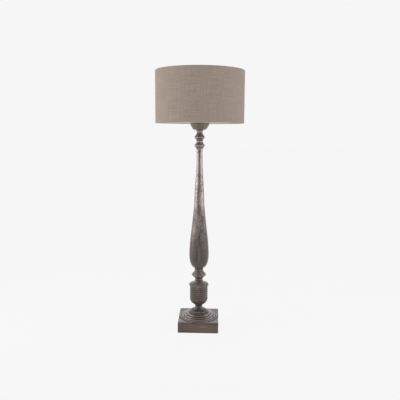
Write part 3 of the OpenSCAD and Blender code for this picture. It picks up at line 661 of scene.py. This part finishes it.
def faired(outline, step):
    """The closed outline with smooth bends, eased corners and a point about every step.

    A point where the outline turns by more than CORNER_TURN is a corner. Between two corners goes a
    spline through the points, or a straight line, which stays whole within HIDDEN_R, in the bore and on
    the tenon. Each corner is two points of the parabola between the ends that meet there.
    """
    ahead = np.roll(outline, -1, 0) - outline
    way = np.arctan2(ahead[:, 1], ahead[:, 0])
    turn = np.abs((way - np.roll(way, 1) + math.pi) % TURN - math.pi)
    corners = np.flatnonzero(turn > CORNER_TURN)
    made = []
    for first, last in zip(corners, np.append(corners[1:], corners[0] + len(outline))):
        run = outline[np.arange(first, last + 1) % len(outline)]
        length = np.linalg.norm(np.diff(run, axis=0), axis=1)
        if len(run) > 2:
            line = spline(run, step)
        else:
            count = 1 if run[:, 0].max() < HIDDEN_R else max(1, round(length[0] / step))
            line = run[0] + (run[1] - run[0]) * np.linspace(0, 1, count + 1)[:, None]
        made.append((eased_ends(line, min(CORNER_EASE, 0.4 * length[0], 0.4 * length[-1])), run[-1]))
    t = np.array([0.3, 0.7])[:, None]
    rounded = []
    for (line, corner), (after, _) in zip(made, made[1:] + made[:1]):
        bend = (1 - t) ** 2 * line[-1] + 2 * t * (1 - t) * corner + t ** 2 * after[0]
        rounded += [line, bend]
    return np.concatenate(rounded)


def blurred(line, offset, reach):
    """The closed line with each point averaged with those around it, weighted by a bell of that reach."""
    bell = np.exp(-0.5 * (offset / reach) ** 2)
    weights = np.fft.fft(bell / bell.sum())[:, None]
    return np.fft.ifft(np.fft.fft(line, axis=0) * weights, axis=0).real


def proudness(outline, reach):
    """How far each point stands out of the outline's own blurred line: 1 on an edge, -1 in a groove.

    The line is blurred over two distances, so a thin ring in a hollow still counts as an edge. Each
    comes with how far out a point has to stand to count in full.
    """
    blurs = ((reach, 0.9 * MM), (FINE_REACH, 0.25 * MM))
    spacing = 0.4 * MM
    ring = np.concatenate([outline, outline[:1]])
    along = np.concatenate([[0], np.cumsum(np.linalg.norm(np.diff(ring, axis=0), axis=1))])
    count = int(along[-1] / spacing)
    even = np.arange(count) * along[-1] / count
    line = np.stack([np.interp(even, along, ring[:, k]) for k in (0, 1)], 1)
    offset = np.minimum(np.arange(count), count - np.arange(count)) * along[-1] / count
    way = np.roll(line, -1, 0) - np.roll(line, 1, 0)
    outward = np.stack([way[:, 1], -way[:, 0]], 1) / np.linalg.norm(way, axis=1)[:, None]
    stands = sum(((line - blurred(line, offset, far)) * outward).sum(1) / full for far, full in blurs)
    return np.clip(np.interp(along[:-1], even, stands, period=along[-1]), -1, 1)


def swept_cup(outline):
    """The cup's outline with a fuller bowl: outside, the larger radius of its own and a spline's."""
    sweep = spline(np.array(CUP_BOWL) * MM, 1 * MM)
    fuller = np.interp(outline[:, 1] - CUP_BOTTOM, sweep[:, 1], sweep[:, 0], left=0, right=0)
    outside = np.arange(len(outline)) < outline[:, 0].argmax()
    radius = np.where(outside, np.maximum(outline[:, 0], fuller), outline[:, 0])
    return np.stack([radius, outline[:, 1]], 1)


def turned_piece(name, node, step, around, seed, edge_reach, shaped):
    """The CAD node's outline turned about the axis: radius(row), height(row) over the angle(column).

    The radius wavers by hand sanding, and an edge that stands proud has small nicks, but not within
    still_r, in the bore and on the tenon. shaped, if there is one, changes the outline first.
    """
    still_r, waver, nick = 13 * MM, 0.1 * MM, 0.5 * MM
    outline = faired(outline_of(node), step)
    if shaped:
        outline = shaped(outline)
    proud = proudness(outline, edge_reach)[:, None]
    angle = all_round(around)
    points = about_axis(outline[:, :1], angle, outline[:, 1:])
    way = np.roll(outline, -1, 0) - np.roll(outline, 1, 0)
    outward = (way[:, 1] / np.linalg.norm(way, axis=1)).clip(0, 1)
    free = (outward * smooth((outline[:, 0] - still_r) / (3 * MM)))[:, None]
    sanded = waver * uneven(points, 35 * MM, 140 * MM, seed)
    sunk = nick * nicked(points, 7 * MM, 26 * MM, seed + 50, start=0.85) * np.clip(proud, 0, 1)
    push_out(points, angle, free * (sanded - sunk))
    worn = np.broadcast_to(proud, points.shape[:2])
    return add_piece(name, points, closed_rows=True, attributes={"proud": worn})


def make_turned(name, node, finish, step, around, seed, edge_reach=EDGE_REACH, shaped=None):
    """A turned piece of the column, with a point about every step and around points to a circle."""
    piece = turned_piece(name, node, step, around, seed, edge_reach, shaped)
    finish_piece(piece, "stand", finish, node)


# ---------------------------------------------------------------- the plinth

PLINTH_EDGE = 1.6 * MM
PLINTH_CORNER = 2.2 * MM
PLINTH_BORE_R = 5.5 * MM
POCKET_R = 93 * MM
POCKET_ROOF = PLINTH_TOP - 22 * MM
COVER_PLAY = 0.15 * MM
UNDER_DISC_R = 40 * MM


def rounded_square(half, corner, around):
    """Points round a square with rounded corners, which is a circle where corner equals half.

    Each quarter is a straight side, with its points gathered near both ends, and an arc.
    """
    t = (np.arange(around // 4) + 0.5) / (around // 4)
    straight = half - corner
    arc_share = 0.3 if straight > 0 else 1.0
    run = np.clip(t / (1 - arc_share), 0, 1) if straight > 0 else np.ones_like(t)
    bend = np.clip((t - (1 - arc_share)) / arc_share, 0, 1) * math.pi / 2
    x = straight + corner * np.cos(bend)
    y = -straight + 2 * straight * (0.5 - 0.5 * np.cos(math.pi * run)) + corner * np.sin(bend)
    quarters = [(math.cos(turn), math.sin(turn)) for turn in (0, TURN / 4, TURN / 2, 3 * TURN / 4)]
    return np.concatenate([np.stack([x * c - y * s, x * s + y * c], 1) for c, s in quarters])


def make_plinth():
    """The plinth as rings lofted from the pocket's roof down, round the outside, over the top to the bore.

    Each ring is a rounded square of its own half width and corner, at its own height. Near its edges the
    outside has nicks, and it wavers inwards.
    """
    around, ease, nick, waver = 480, 1 * MM, 0.9 * MM, 0.12 * MM
    half, bottom, top = PLINTH_HALF, PLINTH_BOTTOM, PLINTH_TOP
    edge, corner, bore = PLINTH_EDGE, PLINTH_CORNER, PLINTH_BORE_R
    recess, pocket, roof = COVER_HALF + COVER_PLAY, POCKET_R, POCKET_ROOF
    rings = [(bore, bore, roof), (pocket - ease, pocket - ease, roof), (pocket, pocket, roof - ease),
             (pocket, pocket, COVER_TOP), (recess, corner, COVER_TOP), (recess, corner, bottom),
             (half - 3 * edge, corner, bottom)]
    bend = np.linspace(0, math.pi / 2, 5)
    rings += [(half - edge + edge * math.sin(b), corner, bottom + edge - edge * math.cos(b)) for b in bend]
    rings += [(half, corner, z) for z in np.linspace(bottom + edge, top - edge, 22)[1:-1]]
    rings += [(half - edge + edge * math.cos(b), corner, top - edge + edge * math.sin(b)) for b in bend]
    rings += [(half - edge - inset * MM, corner, top) for inset in (2, 5, 10, 18, 30, 50)]
    rings += [(UNDER_DISC_R, UNDER_DISC_R, top), (bore + ease, bore + ease, top), (bore, bore, top - ease)]
    points = np.stack([np.column_stack([rounded_square(half_width, rounding, around), np.full(around, z)])
                       for half_width, rounding, z in rings])

    sides, height = np.abs(points[..., :2]), points[..., 2]
    to_ends = np.minimum(top - height, height - bottom)
    gaps = np.sort([half - sides[..., 0], half - sides[..., 1], to_ends], axis=0)
    near_edge = np.exp(-gaps[1] / (2.2 * MM))
    outside = gaps[0] < edge
    chip = nicked(points, 6 * MM, 30 * MM, 71, start=0.75)
    planed = waver * uneven(points, 40 * MM, 150 * MM, 70)
    inward = -np.sign(points[..., :2]) * (sides > half - 2 * edge)
    sink = (nick * chip * near_edge - np.minimum(planed, 0)) * outside
    points[..., :2] += inward * sink[..., None]
    piece = add_piece("plinth_block", points, closed_rows=True, attributes={"proud": near_edge})
    finish_piece(piece, "stand", PLINTH, "plinth")


# ---------------------------------------------------------------- the shade

FABRIC_T = 0.8 * MM
LINING_T = 0.7 * MM
WIRE_R = 1.5 * MM
WRAP_GAP = 0.4 * MM
FOLD = math.radians(200)
NOTCH = math.radians(128)
ARM_ANGLES = [math.radians(a) for a in (90, 210, 330)]
ARM_HALF = 1.9 * MM
SEAM_AT = math.radians(102)
SEAM_LAP = 12 * MM
LAP_EASE = 6 * MM
LAP_GAP = 0.1 * MM
SHEET_LENGTH = TURN * SHADE_R
SINK = 0.25 * MM
SINK_EASE = 25 * MM
FOLD_STEPS = 12
WALL_STEPS = 34


def steps_along_sheet(start):
    """Places along the linen from start on: even ones, and more at the arms and where the sheet laps."""
    fine = [a * SHADE_R + np.linspace(-5 * MM, 5 * MM, 21) for a in ARM_ANGLES]
    fine.append(start + np.linspace(-4 * MM, 20 * MM, 25))
    run = np.concatenate([start + np.linspace(0, SHEET_LENGTH + SEAM_LAP, 440),
                          *[start + (f - start) % SHEET_LENGTH for f in fine],
                          start + SHEET_LENGTH + np.linspace(-8 * MM, SEAM_LAP, 21)])
    return np.unique(np.round(run, 6))


def make_fabric():
    """The drum's linen: a sheet that goes once round and laps over itself, folded round both wires.

    Across the sheet it is an arc of FOLD round the bottom wire, the straight wall and an arc round the
    top wire; at each arm of the fitter the lower arc stops short. The lap lies one thickness further out,
    and the wall sinks in slightly between the wires.
    """
    bend_r = WIRE_R + WRAP_GAP + FABRIC_T
    wire_r = SHADE_R - bend_r
    low_z, high_z = SHADE_BOTTOM + bend_r, SHADE_TOP - bend_r
    tall = high_z - low_z
    start = SEAM_AT * SHADE_R
    run = steps_along_sheet(start)
    angle = run / SHADE_R
    to_arm = np.min([np.abs((angle - a + math.pi) % TURN - math.pi) for a in ARM_ANGLES], axis=0) * SHADE_R
    fold = FOLD - (FOLD - NOTCH) * (1 - smooth((to_arm - ARM_HALF) / (0.8 * MM)))
    lap = smooth((run - start - SHEET_LENGTH + LAP_EASE) / LAP_EASE) * (FABRIC_T + LAP_GAP)

    low_arc = -np.linspace(1, 0, FOLD_STEPS)[:, None] * fold
    bottom = (wire_r + bend_r * np.cos(low_arc), low_z + bend_r * np.sin(low_arc), low_arc * bend_r)
    wall_z = np.linspace(low_z, high_z, WALL_STEPS)[1:-1, None] * np.ones_like(run)
    wall = (np.full_like(wall_z, SHADE_R), wall_z, wall_z - low_z)
    high_arc = np.linspace(0, 1, FOLD_STEPS)[:, None] * FOLD * np.ones_like(run)
    head = (wire_r + bend_r * np.cos(high_arc), high_z + bend_r * np.sin(high_arc), tall + high_arc * bend_r)
    radius, height, across = (np.concatenate(parts) for parts in zip(bottom, wall, head))

    outer = smooth((radius - wire_r) / bend_r)
    points = about_axis(radius + lap * outer, angle, height)
    clear = outer * smooth((height - low_z) / SINK_EASE) * smooth((high_z - height) / SINK_EASE)
    sunk = SINK * np.abs(uneven(points, 120 * MM, 400 * MM, 31)) * clear
    push_out(points, angle, -sunk)
    cloth = np.stack(np.broadcast_arrays(run, across), -1)
    piece = add_piece("linen_drum", points, closed_columns=False, cloth=cloth)
    thick = piece.modifiers.new("thickness", "SOLIDIFY")
    thick.thickness = FABRIC_T
    thick.offset = -1
    finish_piece(piece, "shade", LINEN, "shade_fabric")
    flat = (SHEET_LENGTH + SEAM_LAP, tall + 2 * FOLD * bend_r)


def make_lining():
    """The stiff lining: the outline of a thin wall with eased rims, turned about the axis."""
    outer = high("shade_lining").x
    bottom, top = low("shade_lining").z, high("shade_lining").z
    inner = outer - LINING_T
    ease = 0.15 * MM
    heights = np.linspace(bottom + ease, top - ease, 16)
    section = np.array([(inner + ease, bottom), (outer - ease, bottom), *[(outer, z) for z in heights],
                        (outer - ease, top), (inner + ease, top), *[(inner, z) for z in heights[::-1]]])
    points = about_axis(section[:, :1], all_round(360), section[:, 1:])
    piece = add_piece("pale_lining", points, closed_rows=True)
    finish_piece(piece, "shade", LINING, "shade_lining")


# ---------------------------------------------------------------- the felt pads and the bulb

PAD_R = 10 * MM


def make_felt_pads():
    """Four felt discs, each with a half circle for its rim, turned about its own middle, and fuzzy edges."""
    pad_low, pad_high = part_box("felt_pads")
    at = pad_high.x - PAD_R
    thick = pad_high.z - pad_low.z
    rim = thick / 2
    bend = np.linspace(-math.pi / 2, math.pi / 2, 9)
    section = np.array([(0, 0), *[(PAD_R - rim + rim * math.cos(b), rim + rim * math.sin(b)) for b in bend],
                        (0, thick)])
    disc = about_axis(section[:, :1], all_round(64), section[:, 1:])
    disc[..., :2] *= 1 - 0.012 * np.abs(uneven(disc, 2 * MM, 6 * MM, 5))[..., None]
    corners = [(at, at), (-at, at), (-at, -at), (at, -at)]
    pads = joined([add_piece("felt_pads_soft", disc + np.array([x, y, 0]), poles=True) for x, y in corners])
    finish_piece(pads, "stand", FINISHES["felt"], "felt_pads")


def make_bulb_glass():
    """The bulb's thin glass: down its inner wall and up its outer wall, splined and turned about the axis."""
    step = 1.5 * MM
    outline = outline_of("bulb_glass")
    rim = outline[:, 1].argmin() + 1
    outline = np.concatenate([spline(outline[:rim], step), spline(outline[rim:], step)])
    points = about_axis(outline[:, :1], all_round(96), outline[:, 1:])
    piece = add_piece("bulb_glass_blown", points, poles=True)
    finish_piece(piece, "bulb", FINISHES["frosted_glass"], "bulb_glass")


# ---------------------------------------------------------------- the studio

CAMERA_PLACE = (0.100, -3.0444, 1.260)
CAMERA_LEFT = math.radians(1.8)
CAMERA_DOWN = math.radians(7.97)
CAMERA_ROLL = math.radians(0.34)
CAMERA_LENS = 43.56
SENSOR_WIDTH = 36

# Lights face a point just off the axis, so that one right over the lamp has a way forward that isn't plumb.
LIGHT_AIM = Vector((0, 0.001, 0.9))
COOL = (0.9, 0.95, 1.0)
WHITE = (1, 1, 1)
# The room's light straight in front of the lamp, what its walls add, and what is taken off above and right.
ROOM_FRONT = 0.09
ROOM_WALLS = 1.02
ROOM_DIM_ABOVE = 0.6
ROOM_DIM_RIGHT = 0.14
BACKGROUND = tone(246, 246, 246)
FLOOR_GLOW = 0.884
FLOOR_HALF = 40.0


def look_along(place, forward, roll):
    """Matrix of a camera or light at place that looks along forward, with its right side raised by roll."""
    forward = Vector(forward).normalized()
    right = forward.cross(Vector((0, 0, 1))).normalized()
    up = right.cross(forward)
    turned_right = right * math.cos(roll) + up * math.sin(roll)
    turned_up = up * math.cos(roll) - right * math.sin(roll)
    turn = Matrix((turned_right, turned_up, -forward)).transposed().to_4x4()
    return Matrix.Translation(place) @ turn


def make_camera():
    """The photograph's view: 3.05 m away, 1.26 m up, 8 degrees down, from a little right of the lamp."""
    data = bpy.data.cameras.new("camera")
    data.sensor_width = SENSOR_WIDTH
    data.lens = CAMERA_LENS
    data.clip_start = 0.05
    data.clip_end = 100
    camera = bpy.data.objects.new("camera", data)
    level = math.cos(CAMERA_DOWN)
    ahead = (-math.sin(CAMERA_LEFT) * level, math.cos(CAMERA_LEFT) * level, -math.sin(CAMERA_DOWN))
    camera.matrix_world = look_along(CAMERA_PLACE, ahead, CAMERA_ROLL)
    bpy.context.collection.objects.link(camera)
    bpy.context.scene.camera = camera


def make_softbox(name, azimuth, distance, height, size, power, colour):
    """A rectangular light at azimuth degrees from the front, to the right, that faces the lamp's middle."""
    data = bpy.data.lights.new(name, "AREA")
    data.shape = "RECTANGLE"
    data.size, data.size_y = size
    data.energy = power
    data.color = colour
    light = bpy.data.objects.new(name, data)
    angle = math.radians(azimuth)
    place = Vector((distance * math.sin(angle), -distance * math.cos(angle), height))
    light.matrix_world = look_along(place, LIGHT_AIM - place, 0)
    bpy.context.collection.objects.link(light)
    return light


def make_world():
    """A bright room, dim towards the front, overhead and a little to the right; the camera sees even grey."""
    world = bpy.data.worlds.new("studio")
    bpy.context.scene.world = world
    world.use_nodes = True
    net = Net(world.node_tree)
    direction = net.node("TexCoord", output="Generated")
    right, back, up = (net.part(direction, axis) for axis in "XYZ")
    above = up.rise(0.25, 0.8) * ROOM_DIM_ABOVE
    walls = back.rise(-0.92, -0.62) * (1 - above) * (1 - right * ROOM_DIM_RIGHT)
    light = net.node("Background", inputs={"Strength": ROOM_FRONT + walls * ROOM_WALLS})
    seen = net.node("Background", inputs={"Color": BACKGROUND, "Strength": 1.0})
    camera = net.node("LightPath", output="Is Camera Ray")
    net.end("OutputWorld", net.node("MixShader", inputs={0: camera, 1: light, 2: seen}))


def make_floor():
    """A wide pale floor."""
    far = FLOOR_HALF
    corners = np.array([[[-far, -far, 0], [far, -far, 0]], [[-far, far, 0], [far, far, 0]]])
    floor = add_piece("floor", corners, closed_columns=False)
    floor.data.materials.append(material("floor", paint_floor, Emission_Strength=FLOOR_GLOW,
                                         Specular_IOR_Level=0.0))


# ---------------------------------------------------------------- the lamp's materials

def waxed_wood(name, paint, **recipe):
    """A wood by that painter and its recipe, under a thin clear coat."""
    return material(name, lambda net: paint(net, **recipe), Specular_IOR_Level=0.4, Coat_Weight=0.25,
                    Coat_Roughness=0.2)


LINEN = material("linen", paint_linen, Specular_IOR_Level=0.15)
LINING = material("lining", paint_lining)
# The foot's neck: a band of wax as a painted highlight, and a painted dark reflection down its front middle.
COLUMN = waxed_wood(
    "column_wood", paint_column, ring=HighlightRing(FOOT_TOP - 0.014, 0.008, 0.14),
    runs=[Patch((-0.002, -0.02, FOOT_TOP - 0.012), (0.012, 0.035, 0.035), 0.9)])
# Dark patches: the first darkens the left front, the second is a painted dark reflection down the middle.
# Upward wax is partly painted light from above; the band under the top is a painted highlight.
URN = waxed_wood(
    "urn_wood", paint_column, silver=0.03, ground=URN_STAIN, edging=0.14, top_wax=0.2,
    ring=HighlightRing(URN_TOP - 0.02, 0.008, 0.18),
    runs=[Patch((-0.045, -0.035, 0.235), (0.035, 0.05, 0.075), 0.6),
          Patch((0.002, -0.025, URN_TOP - 0.01), (0.013, 0.035, 0.03), 0.55)],
    flecks=Patch((-0.003, -0.055, 0.25), (0.02, 0.04, 0.05), 0.8))
# Upward wax is partly painted light from above; the dark patch is a painted dark reflection down the front.
BEAD = waxed_wood(
    "bead_wood", paint_column, silver=0.1, top_wax=0.3,
    runs=[Patch((0.001, -0.045, BALUSTER_BOTTOM - 0.02), (0.012, 0.04, 0.035), 0.45)])
# The dark patches are a painted dark reflection down the front middle.
SHAFT = waxed_wood(
    "shaft_wood", paint_column, silver=0.045, ground=SHAFT_STAIN,
    paling=(BALUSTER_BOTTOM + 0.03, BALUSTER_BOTTOM + 0.68, 0.85),
    runs=[Patch((0.0005, -0.018, BALUSTER_TOP - 0.045), (0.004, 0.02, 0.08), 0.9),
          Patch((0.001, -0.02, BALUSTER_TOP - 0.18), (0.007, 0.02, 0.1), 0.5),
          Patch((0.001, -0.026, BALUSTER_TOP - 0.36), (0.014, 0.03, 0.16), 0.4)])
# The waist's band of wax is a painted highlight.
NECK = waxed_wood(
    "neck_wood", paint_column, silver=0.17, ground=STAIN, edging=0.55,
    ring=HighlightRing(BALUSTER_TOP + 0.045, 0.0035, 0.6))
# The band of wax near the cup's foot is a painted highlight; the dark patch is a painted dark reflection.
CUP = waxed_wood(
    "cup_wood", paint_column, silver=0.1, ground=CUP_STAIN, edging=0.0,
    ring=HighlightRing(CUP_BOTTOM + 0.007, 0.005, 0.3),
    runs=[Patch((0.0, -0.045, CUP_BOTTOM + 0.03), (0.034, 0.05, 0.045), 0.5)])
DISC = waxed_wood("disc_wood", paint_disc)
PLINTH = waxed_wood("plinth_wood", paint_plinth)

METALS = {
    "screw_steel": (tone(196, 196, 198), tone(160, 160, 162), 0.25),
    "tube_steel": (tone(182, 178, 168), tone(150, 146, 136), 0.32),
    "brass": (tone(196, 164, 106), tone(140, 112, 70), 0.28),
    "bulb_metal": (tone(208, 208, 208), tone(176, 176, 176), 0.3),
}
SMOOTH_SKINS = {
    "dark_plastic": (tone(34, 31, 29), tone(44, 40, 37), 0.42),
    "white_plastic": (tone(226, 223, 212), tone(216, 212, 200), 0.45),
    "lead_sheath": (tone(228, 224, 214), tone(218, 213, 202), 0.4),
    "white_wire": (tone(228, 226, 220), tone(218, 215, 208), 0.3, 9 * MM, 0.005 * MM),
    "black_glass": (tone(18, 18, 22), tone(26, 26, 30), 0.1),
    "filament": (tone(238, 206, 116), tone(228, 190, 96), 0.4),
}
CERAMIC = paint_smooth(tone(232, 229, 218), tone(224, 220, 208), 0.12, 20 * MM)
FROSTED = paint_smooth(tone(244, 242, 236), tone(238, 236, 230), 0.45)

FINISHES = {
    "linen": LINEN, "lining": LINING,
    "column_wood": COLUMN, "cup_wood": CUP, "disc_wood": DISC, "plinth_wood": PLINTH,
    "board": material("board", paint_board),
    "felt": material("felt", paint_felt, Sheen_Weight=0.4),
    "iron": material("iron", paint_iron, Metallic=0.6),
    "ceramic": material("ceramic", CERAMIC, Coat_Weight=0.4),
    "frosted_glass": material("frosted_glass", FROSTED, Transmission_Weight=0.35),
}
for name, recipe in METALS.items():
    FINISHES[name] = material(name, paint_metal(*recipe), Metallic=1.0)
for name, recipe in SMOOTH_SKINS.items():
    FINISHES[name] = material(name, paint_smooth(*recipe))


# ---------------------------------------------------------------- the lamp in its studio

make_camera()
make_world()
make_softbox("left_softbox", azimuth=-80, distance=2.0, height=1.25, size=(1.2, 2.0), power=8.5, colour=COOL)
make_softbox("right_softbox", azimuth=80, distance=2.0, height=1.25, size=(1.2, 2.0), power=4.5, colour=COOL)
overhead = make_softbox("top_softbox", azimuth=0, distance=0.05, height=3.3, size=(1.2, 1.2), power=12.5,
                        colour=WHITE)
overhead.visible_glossy = False

for part in frame["record"]["subparts"]:
    mesh = nodes[part["node"]].data
    mesh.materials.clear()
    mesh.materials.append(FINISHES[part["material_slot"]])

make_plinth()
make_turned("disc_turned", "stepped_disc", DISC, step=0.9 * MM, around=200, seed=11,
            edge_reach=5 * MM)
make_turned("foot_turned", "foot", COLUMN, step=1.1 * MM, around=160, seed=12)
make_turned("urn_turned", "urn", URN, step=1.2 * MM, around=176, seed=13)
make_turned("bead_turned", "bead", BEAD, step=1.2 * MM, around=160, seed=14)
make_turned("baluster_turned", "baluster", SHAFT, step=3 * MM, around=160, seed=15)
make_turned("neck_turned", "twin_bead_neck", NECK, step=1.1 * MM, around=144, seed=16)
make_turned("cup_turned", "cup", CUP, step=1.2 * MM, around=160, seed=17, shaped=swept_cup)
make_fabric()
make_lining()
make_bulb_glass()
make_felt_pads()
make_floor()
bpy.context.scene.view_settings.view_transform = "Standard"
